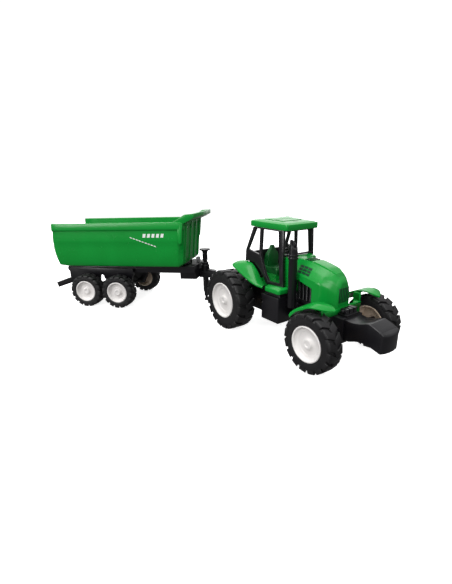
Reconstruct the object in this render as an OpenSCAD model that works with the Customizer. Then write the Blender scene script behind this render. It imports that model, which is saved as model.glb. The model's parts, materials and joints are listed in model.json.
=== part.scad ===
// Toy farm tractor coupled to a tandem-axle tipping trailer.
// Millimetres. +X is the tractor's forward direction, +Z is up.
// The tractor is drawn from the ground point under its rear axle, and the trailer
// from the ground point under its front axle, with its own +X towards the tractor.

/* [Tractor wheels] */
// Radius of the rear tyres over the lugs
rear_tyre_r = 36; // [34:0.5:37]
// Width of the rear tyres
rear_tyre_w = 21; // [18:0.5:21]
// Radius of the rear rims
rear_rim_r = 22; // [20:0.5:24]
// Radius of the front tyres over the lugs
front_tyre_r = 29; // [27:0.5:29.5]
// Width of the front tyres
front_tyre_w = 17; // [14:0.5:17]
// Radius of the front rims
front_rim_r = 18.2; // [16:0.2:20]
// Distance between the front and rear axles
wheelbase = 136; // [135:0.5:137]
// Width across the outer faces of the wheels
track_outer = 109; // [107:0.5:112]

/* [Trailer wheels] */
// Radius of the trailer tyres over the lugs
trailer_tyre_r = 23.7; // [22:0.1:24]
// Width of the trailer tyres
trailer_tyre_w = 16; // [14:0.5:16]
// Radius of the trailer rims
trailer_rim_r = 14.8; // [13:0.2:16]
// Distance between the two trailer axles
bogie_spacing = 49.4; // [49:0.1:52]
// Width across the outer faces of the trailer wheels
trailer_track_outer = 103.6; // [103:0.2:108]

/* [Axles and pins] */
// Radius of the tractor's wheel axles
axle_r = 2.5; // [2:0.1:3]
// Radius of the trailer's wheel axles
trailer_axle_r = 2; // [1.5:0.1:2.5]
// Radius of the hitch pin
hitch_pin_r = 3; // [2.5:0.1:3.5]
// Radius of the tub's hinge pin
tub_pin_r = 2; // [1.5:0.1:2.5]
// Radial clearance of everything that turns or slides
running_gap = 0.08; // [0.04:0.01:0.1]

/* [Cab and hood] */
// Height of the roof's lower edge
roof_z = 123; // [122:0.5:127]
// Thickness of the roof at its edge
roof_edge_h = 6; // [4:0.5:7]
// Half width of the hood at its sides
hood_half_w = 20.5; // [19:0.5:21]
// Height of the cab floor's top face
floor_z = 63; // [62.5:0.5:63.5]
// Thickness of the hood's shell
hood_wall = 1.8; // [1.4:0.2:2.4]

/* [Trailer body] */
// Height of the tub's rim
tub_rim_z = 120; // [118:0.2:124]
// Half width over the tub's rim
tub_half_w = 44.4; // [43.5:0.1:46]
// Thickness of the tub's wall
tub_wall = 2; // [1.6:0.2:2.4]
// Distance from the trailer's front axle to the hitch pin
drawbar_reach = 140; // [138:0.5:144]
// Slope of the chassis and tub, rising towards the drawbar
body_rise = 1.1; // [0:0.1:1.5]

/* [Pose at rest] */
// Angle of the trailer at the hitch, zero when it is in line
hitch_yaw = 42.9; // [-80:0.1:80]
// X of the rear axle from the middle of the whole model
rear_axle_x = 50.7; // [-100:0.01:150]
// Y of the tractor's centreline from the middle of the whole model
centreline_y = 69.66; // [-100:0.01:150]

/* [Hidden] */
$fn = 64;

green = "forestgreen";
black = [0.1, 0.1, 0.11];
soft_black = [0.17, 0.17, 0.18];
white = [0.93, 0.92, 0.9];
steel = [0.45, 0.45, 0.47];

wheel_y = track_outer / 2;
trailer_wheel_y = trailer_track_outer / 2;
hitch_x = -85;
tub_pin_x = -86;
tub_pin_z = 51.75;
rail_top_z = 56.5;
rail_bottom_z = 47;
tub_floor_z = 57;
jack_x = 117.5;
drawbar_z = 39;
drawbar_h = 9;
eye_h = 6.5;

// ---------- frames ----------
module on_tractor() {
    translate([rear_axle_x, centreline_y, 0])
        children();
}

module on_trailer() {
    on_tractor()
        translate([hitch_x, 0, 0])
            rotate([0, 0, hitch_yaw])
                translate([-drawbar_reach, 0, 0])
                    children();
}

// The chassis and tub slope about a point between the trailer's axles
rise_x = -25;

module on_trailer_body() {
    on_trailer()
        translate([rise_x, 0, 0])
            rotate([0, -body_rise, 0])
                translate([-rise_x, 0, 0])
                    children();
}

// A side-view outline (x, z), as wide as w about the centre plane
module side_slab(outline, w) {
    rotate([90, 0, 0])
        linear_extrude(height = w, center = true)
            polygon(outline);
}

// A front-view outline (y, z), from x0 over the length l
module long_slab(outline, x0, l) {
    translate([x0, 0, 0])
        rotate([90, 0, 90])
            linear_extrude(height = l)
                polygon(outline);
}

// A box given by its lowest and highest corners
module block(lo, hi) {
    translate(lo)
        cube(hi - lo);
}

// A rod along Y between y0 and y1
module cross_rod(x, z, y0, y1, r) {
    translate([x, y0, z])
        rotate([-90, 0, 0])
            cylinder(r = r, h = y1 - y0);
}

// A copy on each side of the centre plane
module both_sides() {
    children();
    mirror([0, 1, 0])
        children();
}

// A curved sheet between two edges with the same number of points, t thick downwards
module curved_sheet(edge_a, edge_b, t) {
    n = len(edge_a);
    down = [0, 0, -t];
    points = concat(
        edge_a,
        edge_b,
        [for (p = edge_a) p + down],
        [for (p = edge_b) p + down]
    );
    strips = [for (i = [0:n - 2]) each [
        [i, i + 1, n + i + 1, n + i],
        [2 * n + i, 3 * n + i, 3 * n + i + 1, 2 * n + i + 1],
        [i, 2 * n + i, 2 * n + i + 1, i + 1],
        [n + i, n + i + 1, 3 * n + i + 1, 3 * n + i]
    ]];
    ends = [
        [0, n, 3 * n, 2 * n],
        [n - 1, 3 * n - 1, 4 * n - 1, 2 * n - 1]
    ];
    polyhedron(points = points, faces = [for (f = concat(strips, ends)) each [
        [f[0], f[1], f[2]],
        [f[0], f[2], f[3]]
    ]]);
}

// ---------- wheels, built along Z with the outer face at z = w ----------
// Outline of one half of the tread: lugs standing out of a drum
function lug_ring(r, depth, count, turn) = [
    for (i = [0:count - 1])
        for (c = [[-0.3, -depth], [-0.22, 0], [0.22, 0], [0.3, -depth]])
            let (a = (i + c[0] + turn) * 360 / count)
                (r + c[1]) / cos(0.22 * 360 / count) * [cos(a), sin(a)]
];

module tyre(r, rim_r, w, depth, count) {
    drum_r = r - depth;
    shoulder = depth * 1.2;
    color(black) {
        rotate_extrude()
            polygon([
                [rim_r, 0.8],
                [rim_r + 1.5, 0],
                [drum_r - shoulder, 0],
                [drum_r, shoulder],
                [drum_r, w - shoulder],
                [drum_r - shoulder, w],
                [rim_r + 1.5, w],
                [rim_r, w - 0.8]
            ]);
        for (half = [0, 1])
            translate([0, 0, half == 0 ? 1 : w / 2])
                linear_extrude(height = w / 2 - 1)
                    difference() {
                        polygon(lug_ring(r, depth, count, half / 2 - count / 4));
                        circle(r = drum_r - 1);
                    }
    }
}

module rim(rim_r, w, bore_r, hub_in) {
    lip = 1.6;
    dish = w - 4.5;
    hub_r = bore_r + 2.6;
    color(white)
        rotate_extrude()
            polygon([
                [bore_r, -hub_in],
                [hub_r, -hub_in],
                [hub_r, dish - 1.4],
                [rim_r - lip, dish - 1.4],
                [rim_r - lip, 1],
                [rim_r, 1],
                [rim_r, w],
                [rim_r - lip, w],
                [rim_r - 2 * lip, dish + 0.9],
                [hub_r, dish + 0.9],
                [hub_r, w - 1.4],
                [0, w - 1.4],
                [0, w - 3],
                [bore_r, w - 3]
            ]);
}

// Places a wheel piece at an axle, on one side, with its outer face at face_y
module at_wheel(x, z, face_y, w, side) {
    translate([x, side * (face_y - w), z])
        rotate([-90 * side, 0, 0])
            children();
}

module axle_rod(x, z, face_y, r) {
    color(black)
        cross_rod(x, z, -(face_y - 3), face_y - 3, r);
}

module rear_axle() {
    on_tractor()
        axle_rod(0, rear_tyre_r, wheel_y, axle_r);
}

module rear_rim(side) {
    on_tractor()
        at_wheel(0, rear_tyre_r, wheel_y, rear_tyre_w, side)
            rim(rear_rim_r, rear_tyre_w, axle_r, 1.8);
}

module rear_tyre(side) {
    on_tractor()
        at_wheel(0, rear_tyre_r, wheel_y, rear_tyre_w, side)
            tyre(rear_tyre_r, rear_rim_r, rear_tyre_w, 2.4, 18);
}

module rear_rim_left() { rear_rim(1); }
module rear_rim_right() { rear_rim(-1); }
module rear_tyre_left() { rear_tyre(1); }
module rear_tyre_right() { rear_tyre(-1); }

module front_axle() {
    on_tractor()
        axle_rod(wheelbase, front_tyre_r, wheel_y, axle_r);
}

module front_rim(side) {
    on_tractor()
        at_wheel(wheelbase, front_tyre_r, wheel_y, front_tyre_w, side)
            rim(front_rim_r, front_tyre_w, axle_r, 2.6);
}

module front_tyre(side) {
    on_tractor()
        at_wheel(wheelbase, front_tyre_r, wheel_y, front_tyre_w, side)
            tyre(front_tyre_r, front_rim_r, front_tyre_w, 2.1, 16);
}

module front_rim_left() { front_rim(1); }
module front_rim_right() { front_rim(-1); }
module front_tyre_left() { front_tyre(1); }
module front_tyre_right() { front_tyre(-1); }

module trailer_axle(x) {
    on_trailer()
        axle_rod(x, trailer_tyre_r, trailer_wheel_y, trailer_axle_r);
}

module trailer_rim(x, side) {
    on_trailer()
        at_wheel(x, trailer_tyre_r, trailer_wheel_y, trailer_tyre_w, side)
            rim(trailer_rim_r, trailer_tyre_w, trailer_axle_r, 3);
}

module trailer_tyre(x, side) {
    on_trailer()
        at_wheel(x, trailer_tyre_r, trailer_wheel_y, trailer_tyre_w, side)
            tyre(trailer_tyre_r, trailer_rim_r, trailer_tyre_w, 1.7, 16);
}

module trailer_front_axle() { trailer_axle(0); }
module trailer_front_rim_left() { trailer_rim(0, 1); }
module trailer_front_rim_right() { trailer_rim(0, -1); }
module trailer_front_tyre_left() { trailer_tyre(0, 1); }
module trailer_front_tyre_right() { trailer_tyre(0, -1); }
module trailer_rear_axle() { trailer_axle(-bogie_spacing); }
module trailer_rear_rim_left() { trailer_rim(-bogie_spacing, 1); }
module trailer_rear_rim_right() { trailer_rim(-bogie_spacing, -1); }
module trailer_rear_tyre_left() { trailer_tyre(-bogie_spacing, 1); }
module trailer_rear_tyre_right() { trailer_tyre(-bogie_spacing, -1); }

// ---------- tractor: underframe ----------
beam_x0 = 126;
weight_x0 = 145;

module chassis() {
    on_tractor()
        color(black)
            difference() {
                union() {
                    side_slab([
                        [-24, 26], [-18, 22], [40, 22], [48, 28], [beam_x0, 28],
                        [beam_x0, 47], [84, 47], [84, 58], [-14, 58], [-24, 48]
                    ], 28);
                    cross_rod(0, rear_tyre_r, -30.5, 30.5, 8);
                    cross_rod(0, rear_tyre_r, -24, 24, 11);
                    both_sides()
                        block([-20, 0, 50], [10, 26, 58]);
                }
                cross_rod(0, rear_tyre_r, -40, 40, axle_r + running_gap);
            }
}

module chassis_screws() {
    on_tractor()
        color(steel)
            for (x = [24, 112])
                for (y = [-8, 8])
                    translate([x, y, (x < 40 ? 22 : 28) - 1.2])
                        difference() {
                            cylinder(r = 2.4, h = 1.2);
                            block([-3, -0.4, -0.1], [3, 0.4, 0.5]);
                        }
}

module engine_block() {
    on_tractor()
        color(soft_black) {
            block([84, -12, 47], [118, 12, 76]);
            both_sides() {
                for (x = [86:5:101])
                    block([x, 11.9, 52], [x + 3, 15, 72]);
                block([85, 11.9, 49], [116, 15.5, 53]);
            }
        }
}

module side_tank(side) {
    on_tractor()
        color(black)
            mirror([0, side < 0 ? 1 : 0, 0])
                difference() {
                    union() {
                        block([51, 14, 25.5], [78, 35.5, 54]);
                        block([54, 14, 54], [76, 32, 58]);
                    }
                    block([50, 34.3, 44], [53, 36, 47]);
                }
}

module side_tank_left() { side_tank(1); }
module side_tank_right() { side_tank(-1); }

module tow_bar() {
    on_tractor()
        color(black)
            difference() {
                union() {
                    block([hitch_x, -7, 33], [-24, 7, 38.5]);
                    block([-40, -4, 28], [-24, 4, 33]);
                    translate([hitch_x, 0, 33])
                        cylinder(r = 7, h = 5.5);
                }
                translate([hitch_x, 0, 30])
                    cylinder(r = hitch_pin_r, h = 10);
            }
}

module hitch_pin() {
    on_tractor()
        color(black)
            translate([hitch_x, 0, 0]) {
                translate([0, 0, 31])
                    cylinder(r = hitch_pin_r, h = 16);
                translate([0, 0, drawbar_z + eye_h + 0.4])
                    cylinder(r = 5, h = 2.6);
            }
}

module front_axle_beam() {
    on_tractor()
        color(black)
            difference() {
                union() {
                    block([beam_x0, -15, 22], [weight_x0, 15, 47]);
                    cross_rod(wheelbase, front_tyre_r, -34, 34, 6);
                }
                cross_rod(wheelbase, front_tyre_r, -40, 40, axle_r + running_gap);
            }
}

// The arm and drooping nose weight ahead of the front axle
module front_weight() {
    nose_r = 32;
    nose_x = 187.6;
    half_w = 12.5;
    on_tractor()
        color(black)
            intersection() {
                side_slab([
                    [weight_x0, 46.5], [152, 45.4], [161, 46.4], [166, 48.4], [171, 49.9],
                    [185, 44.2], [188, 42.5], [188, 27], [186.5, 25.8], [182.5, 25.4],
                    [172, 28.8], [164, 29.2], [158, 28], [151, 25.4], [weight_x0, 24.4]
                ], 2 * half_w);
                union() {
                    block([weight_x0, -half_w, 20], [178, half_w, 60]);
                    translate([nose_x - nose_r, 0, 20])
                        cylinder(r = nose_r, h = 40);
                }
            }
}

module front_hitch_block() {
    on_tractor()
        color(soft_black) {
            block([134, -9, 47], [144.9, 9, 49]);
            for (y = [-8, -2, 4])
                block([136, y, 48.9], [143, y + 4, 54]);
            cross_rod(139.5, 52, -11, 11, 1.6);
        }
}

// ---------- tractor: hood ----------
hood_x0 = 79;
hood_nose_x = 132.5;

// Half outline of the hood in front view, with its top at height top
function hood_half(half_w, top, bottom) = [
    [half_w, bottom], [half_w, top - 17], [half_w - 1.2, top - 12],
    [half_w - 6.5, top - 4.5], [8 * half_w / 20.5, top - 0.6], [0, top]
];

function hood_section(half_w, top, bottom) = concat(
    hood_half(half_w, top, bottom),
    [for (i = [4:-1:0]) let (p = hood_half(half_w, top, bottom)[i]) [-p[0], p[1]]]
);

// The hood's solid form, shrunk by inset on every side but its bottom and rear
module hood_form(inset) {
    // x, half width, height of the top
    stations = [
        [hood_x0, hood_half_w - 0.5, 94.5],
        [100, hood_half_w, 92.8],
        [119, hood_half_w - 0.4, 88.4],
        [126, 15.2, 84.6],
        [131, 10.3, 79.6],
        [hood_nose_x - 0.5, 8.4, 77]
    ];
    hull()
        for (s = stations)
            long_slab(
                hood_section(s[1] - inset, s[2] - inset, 49.5),
                s[0] - (s[0] > 110 ? inset : 0),
                0.5
            );
}

module hood() {
    lower_edge = [
        [hood_x0 - 1, 40], [109.5, 40], [109.5, 69.7], [89, 75], [hood_x0 - 1, 75]
    ];
    on_tractor()
        color(green)
            difference() {
                hood_form(0);
                hood_form(hood_wall);
                side_slab(lower_edge, 60);
                block([hood_nose_x - 4, -7.9, 57], [hood_nose_x + 2, 7.9, 73]);
            }
}

module grille() {
    on_tractor()
        color(soft_black) {
            block([hood_nose_x - 3.4, -7.7, 57.2], [hood_nose_x - 1, 7.7, 72.8]);
            for (y = [-7:2.5:6])
                block([hood_nose_x - 1.1, y, 57.6], [hood_nose_x + 0.4, y + 1.4, 72.4]);
        }
}

module hood_vents() {
    on_tractor()
        color(black)
            difference() {
                for (i = [0:3])
                    block([88, -19.2 + i * 1.4, 82 + i * 1.9],
                        [106 - i * 2, 19.2 - i * 1.4, 83.1 + i * 1.9]);
                hood_form(0);
            }
}

// ---------- tractor: cab ----------
module cab_floor() {
    outline = [
        [20, -24], [51, -24], [57, -36], [77, -36], [79, -34], [79, 34], [77, 36],
        [57, 36], [51, 24], [20, 24]
    ];
    on_tractor()
        color(green) {
            translate([0, 0, floor_z - 5])
                linear_extrude(height = 5)
                    difference() {
                        polygon(outline);
                        translate([79, -18])
                            square([1, 36]);
                    }
            block([25.5, -13, floor_z - 0.1], [48, 13, 70]);
        }
}

module dashboard() {
    on_tractor()
        color(green)
            side_slab([
                [dashboard_x, 63], [78.8, 63], [78.8, 90], [74, 92], [dashboard_x, 88]
            ], 38);
}

module seat() {
    on_tractor()
        color(green) {
            side_slab([[25.5, 70], [48, 70], [49, 76], [45, 78.5], [30, 77.5], [25.5, 79]], 22);
            side_slab([[22, 77], [29, 75], [30.5, 90], [28.5, 98], [25, 98], [23.5, 90]], 17);
            side_slab([[23.9, 90], [30.7, 90], [29, 100.5], [25.5, 100.5]], 9);
        }
}

// The wheel and its column, which ends on the rear face of the dashboard
module steering_wheel() {
    on_tractor()
        color(black)
            difference() {
                translate([58, 0, 98.5])
                    rotate([0, -38, 0]) {
                        rotate_extrude()
                            translate([6.6, 0])
                                circle(r = 1.1, $fn = 24);
                        cylinder(r = 2, h = 1.6, center = true);
                        for (a = [0, 120, 240])
                            rotate([0, 0, a])
                                block([0, -0.8, -0.6], [6.4, 0.8, 0.6]);
                        translate([0, 0, -25])
                            cylinder(r = 1.3, h = 25);
                    }
                block([dashboard_x, -4, 60], [90, 4, 100]);
            }
}

dashboard_x = 70;

// Side frame of the cab in its own plane, bottom edge at floor height
side_plane_y = 34.5;
side_plan_angle = 9.4;
side_lean = 2;

module cab_side_outline() {
    difference() {
        polygon([
            [18, 85], [18.5, 97.5], [29, roof_z - 0.2], [72, roof_z - 0.2], [75, 92], [78, floor_z],
            [50, floor_z], [46, 68.5], [40, 77], [31.5, 84.8]
        ]);
        polygon([[22, 98.5], [32.8, 121.4], [38.8, 121.4], [38.2, 94.2]]);
        polygon([
            [42.2, 121.4], [64, 121.4], [66, 92], [68.5, 66], [53.5, 66], [48.5, 74],
            [44, 85], [41.4, 94]
        ]);
    }
}

module cab_side(side) {
    on_tractor()
        color(soft_black)
            mirror([0, side > 0 ? 1 : 0, 0])
                translate([0, -side_plane_y, floor_z + 0.1])
                    rotate([-side_lean, 0, side_plan_angle])
                        translate([0, 0, -floor_z])
                            rotate([90, 0, 0])
                                linear_extrude(height = 3, center = true)
                                    cab_side_outline();
}

module cab_side_left() { cab_side(1); }
module cab_side_right() { cab_side(-1); }

module cab_rear_frame() {
    on_tractor()
        color(soft_black) {
            block([17, -26, 63], [20, 26, 95]);
            block([20, -24, 63], [25.4, 24, 66]);
        }
}

module windscreen_frame() {
    on_tractor()
        color(soft_black) {
            block([67.5, -17.5, 120.8], [71, 17.5, roof_z]);
            block([73.5, -20, 92], [76.5, 20, 94.4]);
        }
}

module cab_roof() {
    corners = [[25.6, 25.3], [71.8, 19.8]];
    on_tractor()
        color(green) {
            hull()
                both_sides()
                    for (c = corners)
                        translate([c[0], c[1], roof_z])
                            cylinder(r = 3.8, h = roof_edge_h, $fn = 32);
            hull()
                both_sides()
                    for (c = corners)
                        translate([c[0] * 0.94 + 3, c[1] * 0.92, roof_z + roof_edge_h - 0.1])
                            cylinder(r1 = 3.4, r2 = 1.6, h = 3.6, $fn = 32);
        }
}

// ---------- tractor: fenders and exhaust ----------
module rear_fender(side) {
    // Edge along the cab, and the free edge over the tyre
    inner = [
        [-2, 30, 79.5], [5, 30, 82.8], [18, 30, 84.4], [28, 30, 82.6], [37, 30, 75.6],
        [43, 30, 68.4], [49.5, 30, 61.6]
    ];
    outer = [
        [1, 38.5, 79.2], [7, 41.5, 79], [18, 43, 76], [30, 43, 71.6], [40, 42.5, 67.6],
        [48, 41, 65], [55, 37.5, 62.8]
    ];
    on_tractor()
        color(green)
            mirror([0, side > 0 ? 0 : 1, 0])
                curved_sheet(outer, inner, 2);
}

module rear_fender_left() { rear_fender(1); }
module rear_fender_right() { rear_fender(-1); }

module exhaust() {
    on_tractor()
        color(soft_black)
            translate([87.3, -26, 0]) {
                difference() {
                    union() {
                        translate([0, 0, 46])
                            cylinder(r = 3.9, h = 56);
                        translate([0, 0, 102])
                            cylinder(r1 = 3.9, r2 = 3.1, h = 17);
                        for (z = [97, 100])
                            translate([0, 0, z])
                                cylinder(r = 4.7, h = 1.6);
                    }
                    translate([0, 0, 111.5])
                        rotate([0, 54, 0])
                            block([-20, -20, 0], [20, 20, 20]);
                    translate([0, 0, 98])
                        cylinder(r = 2.3, h = 30);
                }
                block([-2, 3.5, 50], [2, 10.4, 53]);
            }
}

fender_gap = 3;
fender_t = 2.2;

// One mudguard: part of a drum over the tyre, from a_back behind to a_front ahead of the top
module front_fender(side) {
    r_in = front_tyre_r + fender_gap;
    a_front = 17;
    a_back = 57;
    lip = 1.8;
    on_tractor()
        color(green)
            mirror([0, side > 0 ? 0 : 1, 0])
                translate([wheelbase, 50, front_tyre_r])
                    rotate([90, 0, 0])
                        rotate([0, 0, 90 - a_front])
                            rotate_extrude(angle = a_front + a_back)
                                polygon([
                                    [r_in - 1, 0], [r_in + fender_t * 0.6, 0],
                                    [r_in + fender_t, 3], [r_in + fender_t + 1.6, 17.5],
                                    [r_in + fender_t + 1.2, 19.5], [r_in, 19.5],
                                    [r_in, lip], [r_in - 1, lip]
                                ]);
}

module front_fender_left() { front_fender(1); }
module front_fender_right() { front_fender(-1); }

module front_fender_bar() {
    on_tractor()
        color(green) {
            block([124, -27.5, 47.2], [131, 27.5, 49.4]);
            block([132.6, -27.5, 47.2], [133.8, 27.5, 53]);
            both_sides() {
                block([125.5, 26, 47.2], [133.8, 27.5, 53]);
                block([124, 27.4, 39], [131, 30.4, 61]);
            }
        }
}

// ---------- trailer: underframe ----------
module trailer_chassis() {
    on_trailer_body()
        color(black)
            difference() {
                union() {
                    both_sides() {
                        block([tub_pin_x, 20, rail_bottom_z], [110, 26, rail_top_z]);
                        cross_rod(tub_pin_x, tub_pin_z, 20, 26, 4.75);
                    }
                    for (x = [-72, -26, 24, 60])
                        block([x, -20.1, rail_bottom_z + 1], [x + 6, 20.1, rail_top_z - 2]);
                    block([86, -20.1, 37], [110, 20.1, rail_top_z]);
                }
                cross_rod(tub_pin_x, tub_pin_z, -30, 30, tub_pin_r);
            }
}

module bogie(side) {
    hanger_t = 4.5;
    on_trailer()
        color(black)
            mirror([0, side > 0 ? 0 : 1, 0])
                difference() {
                    union() {
                        block([-86, 26, 44], [17, 26 + hanger_t, 54]);
                        translate([0, 26 + hanger_t / 2, 0]) {
                            side_slab([
                                [-29, 45], [16, 45], [12, 32], [5, 17.5], [-5, 17.5], [-24, 26]
                            ], hanger_t);
                            side_slab([
                                [-86, 45], [-36, 45], [-39, 27], [-44, 17.5], [-55, 17.5],
                                [-70, 30], [-86, 32]
                            ], hanger_t);
                        }
                    }
                    for (x = [0, -bogie_spacing])
                        cross_rod(x, trailer_tyre_r, 20, 40, trailer_axle_r + running_gap);
                }
}

module bogie_left() { bogie(1); }
module bogie_right() { bogie(-1); }

module drawbar() {
    on_trailer()
        color(black)
            difference() {
                union() {
                    block([110, -6, drawbar_z], [drawbar_reach - 8, 6, drawbar_z + drawbar_h]);
                    block([110, -6, drawbar_z], [drawbar_reach, 6, drawbar_z + eye_h]);
                    translate([drawbar_reach, 0, drawbar_z])
                        cylinder(r = 7, h = eye_h);
                    translate([jack_x, 0, drawbar_z])
                        cylinder(r = 4.6, h = 14);
                }
                translate([drawbar_reach, 0, drawbar_z - 1])
                    cylinder(r = hitch_pin_r + running_gap, h = 40);
                translate([jack_x, 0, drawbar_z - 1])
                    cylinder(r = 3 + running_gap, h = 40);
            }
}

module jack_leg() {
    on_trailer()
        color(black)
            translate([jack_x, 0, 0]) {
                translate([0, 0, 9.5])
                    cylinder(r = 3, h = 68.5);
                translate([0, 0, 5])
                    cylinder(r = 1.9, h = 5);
                translate([0, 0, 2.5])
                    cylinder(r = 3.3, h = 2.6);
                translate([0, 0, 77])
                    cylinder(r = 5, h = 1.5);
                translate([0, 0, 78.4])
                    cylinder(r = 7.8, h = 2.2);
            }
}

// Posts that the front of the tub rests against
module tub_rest() {
    on_trailer_body()
        color([0.3, 0.3, 0.31])
            both_sides()
                side_slab_at(9, 7, [[102, rail_top_z], [108, rail_top_z], [108, 64], [103, 64]]);
}

// A side-view outline w wide, centred on y
module side_slab_at(y, w, outline) {
    translate([0, y, 0])
        side_slab(outline, w);
}

module rear_tow_eye() {
    on_trailer_body()
        color(black) {
            block([tub_pin_x, -20, 34], [tub_pin_x + 8, 20, rail_bottom_z]);
            difference() {
                translate([tub_pin_x + 1, 0, 38.5])
                    rotate([0, -18, 0])
                        block([-48, -7, -8.5], [0, 7, 0]);
                tow_bore();
            }
        }
}

module tow_bore() {
    translate([tub_pin_x + 1, 0, 38.5])
        rotate([0, -18, 0])
            translate([-41.5, 0, -20])
                cylinder(r = hitch_pin_r + 0.2, h = 30);
}

// ---------- trailer: tub ----------
// Half of the tub's cross-section, w out from the centre and standing on floor_h
function tub_half(w, floor_h, corner_r, rim_z) = concat(
    [[0, floor_h]],
    [for (a = [-90:15:0]) [
        w - corner_r + corner_r * cos(a) - 2.5 * (1 - (a + 90) / 90),
        floor_h + corner_r + corner_r * sin(a)
    ]],
    [[w, rim_z]]
);

function mirrored(half) = concat(
    half,
    [for (i = [len(half) - 1:-1:1]) [-half[i][0], half[i][1]]]
);

side_w = 42.5;
// Slope of the front wall: x at height z
function front_x(z) = 97.5 + (z - 60) * 0.12;

module tub() {
    outer = mirrored(concat(
        tub_half(side_w, tub_floor_z, 18, 109.5),
        [[tub_half_w, 111], [tub_half_w, tub_rim_z], [0, tub_rim_z]]
    ));
    inner = mirrored(tub_half(side_w - tub_wall, tub_floor_z + tub_wall, 16.5, 130));
    body = [
        [-93, tub_floor_z], [front_x(tub_floor_z), tub_floor_z],
        [front_x(tub_rim_z), tub_rim_z], [-93, tub_rim_z], [-95.6, 100], [-97.4, 84],
        [-95.6, 70]
    ];
    hollow = [
        [-110, 50], [front_x(50) - tub_wall, 50], [front_x(130) - tub_wall, 130], [-110, 130]
    ];
    guard_top = 130.5;
    on_trailer_body()
        color(green)
            difference() {
                union() {
                    difference() {
                        intersection() {
                            long_slab(outer, -100, 220);
                            side_slab(body, 100);
                        }
                        intersection() {
                            long_slab(inner, -110, 230);
                            side_slab(hollow, 100);
                        }
                    }
                    for (y = [-30, -10, 10, 30])
                        translate([0, y, 0])
                            side_slab([
                                [front_x(62) - 0.1, 62], [front_x(62) + 1.6, 62],
                                [front_x(119) + 1.6, 119], [front_x(119) - 0.1, 119]
                            ], 3);
                    both_sides() {
                        translate([0, 43.2, 0])
                            side_slab([
                                [96, 92], [100, 90], [front_x(119), 119], [96, 119]
                            ], 2.4);
                        translate([0, 41.3, 0])
                            side_slab([
                                [88, 119], [106, 129.5], [119, guard_top], [119, 127.5],
                                [front_x(119), 119]
                            ], 2.2);
                        translate([tub_pin_x, 14, tub_pin_z])
                            rotate([-90, 0, 0])
                                cylinder(r = 4.2, h = 5.5);
                        block([tub_pin_x - 4.2, 14, tub_pin_z], [tub_pin_x + 4.2, 19.5, 58]);
                    }
                    side_slab([
                        [front_x(119) - 2, 119], [front_x(119), 119], [119, 127.5],
                        [119, guard_top], [116.5, guard_top]
                    ], 81);
                }
                cross_rod(tub_pin_x, tub_pin_z, -25, 25, tub_pin_r + running_gap);
            }
}

module tub_hinge_pin() {
    on_trailer_body()
        color(steel)
            cross_rod(tub_pin_x, tub_pin_z, -26, 26, tub_pin_r);
}

// Plain slanted stripes printed on both sides
module tub_decals() {
    on_trailer_body()
        color(white)
            both_sides() {
                for (i = [0:4])
                    translate([41 + i * 8, side_w + 0.1, 0])
                        side_slab([[0, 98.5], [5, 98.5], [7, 105.5], [2, 105.5]], 0.2);
                for (i = [0:5])
                    translate([22 + i * 6.5, side_w + 0.1, 98 - i * 2])
                        side_slab([[0, 0], [4.5, -1.4], [4.5, 0.2], [0, 1.6]], 0.2);
            }
}

chassis();
engine_block();
hood();
grille();
hood_vents();
cab_floor();
dashboard();
seat();
steering_wheel();
cab_side_left();
cab_side_right();
cab_rear_frame();
windscreen_frame();
cab_roof();
rear_fender_left();
rear_fender_right();
exhaust();
side_tank_left();
side_tank_right();
front_axle_beam();
front_fender_bar();
front_fender_left();
front_fender_right();
front_weight();
front_hitch_block();
tow_bar();
hitch_pin();
chassis_screws();
rear_axle();
rear_rim_left();
rear_rim_right();
rear_tyre_left();
rear_tyre_right();
front_axle();
front_rim_left();
front_rim_right();
front_tyre_left();
front_tyre_right();
trailer_chassis();
bogie_left();
bogie_right();
drawbar();
tub_rest();
rear_tow_eye();
jack_leg();
tub();
tub_decals();
tub_hinge_pin();
trailer_front_axle();
trailer_front_rim_left();
trailer_front_rim_right();
trailer_front_tyre_left();
trailer_front_tyre_right();
trailer_rear_axle();
trailer_rear_rim_left();
trailer_rear_rim_right();
trailer_rear_tyre_left();
trailer_rear_tyre_right();
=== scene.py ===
"""Looks of the toy tractor and its tipping trailer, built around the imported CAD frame.

Shapes are drawn in millimetres in the tractor's, the trailer's or the tub's own frame,
and moved to where the joints of the CAD put them.
"""

import json
from math import atan2, cos, pi, radians, sin, tau

import bmesh
import bpy
from mathutils import Matrix, Vector


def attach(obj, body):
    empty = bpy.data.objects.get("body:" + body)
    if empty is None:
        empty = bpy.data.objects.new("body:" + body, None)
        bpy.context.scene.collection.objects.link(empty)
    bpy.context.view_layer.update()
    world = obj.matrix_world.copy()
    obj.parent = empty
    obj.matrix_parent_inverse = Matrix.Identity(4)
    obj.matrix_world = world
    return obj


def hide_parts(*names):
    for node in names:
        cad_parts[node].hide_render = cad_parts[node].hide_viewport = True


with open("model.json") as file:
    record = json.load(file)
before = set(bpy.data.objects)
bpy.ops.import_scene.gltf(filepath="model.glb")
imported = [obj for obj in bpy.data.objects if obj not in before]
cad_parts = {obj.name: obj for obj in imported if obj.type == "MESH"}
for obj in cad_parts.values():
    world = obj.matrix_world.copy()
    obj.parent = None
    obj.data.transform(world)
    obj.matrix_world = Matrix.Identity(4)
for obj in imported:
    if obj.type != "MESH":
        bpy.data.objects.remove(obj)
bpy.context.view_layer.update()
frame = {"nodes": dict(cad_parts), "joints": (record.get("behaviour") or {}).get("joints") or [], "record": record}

scene = bpy.context.scene

# ---------------------------------------------------------------- frames
MM = 0.001
JOINTS = {j["name"]: j for j in frame["joints"]}


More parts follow.
